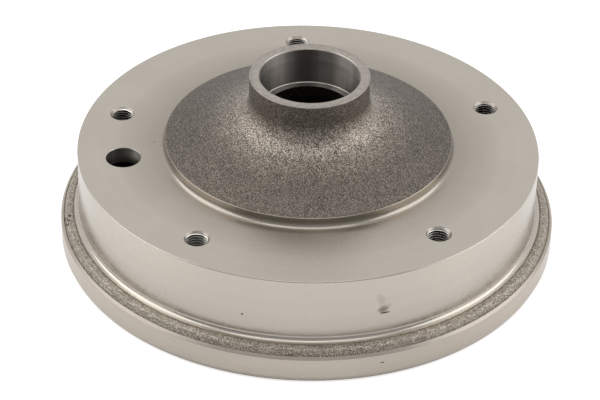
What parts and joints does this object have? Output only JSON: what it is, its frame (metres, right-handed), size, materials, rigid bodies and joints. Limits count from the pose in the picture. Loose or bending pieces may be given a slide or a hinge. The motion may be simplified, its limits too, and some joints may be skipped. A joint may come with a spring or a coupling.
{
  "type": "brake drum",
  "caption": "Cast iron brake drum with wheel hub and nose in one casting, a flat wheel face with tapped holes and a thick turned rim round the open side.",
  "frame": {"origin": "on the drum's axis, at the lowest face of the open rim", "axes": "+Z along the axis from the open rim towards the nose; +X is 22 degrees short of a wheel bolt hole, turning towards +Y"},
  "size_m": [0.2618, 0.2618, 0.0966],
  "materials": {
    "cast_iron": "bare grey iron, turned smooth on the wheel face, wall, rim, bore and braking surface, rough as cast on the dome, nose and shoulder"
  },
  "bodies": {
    "root": {"brake_drum": "cast_iron"}
  },
  "joints": []
}
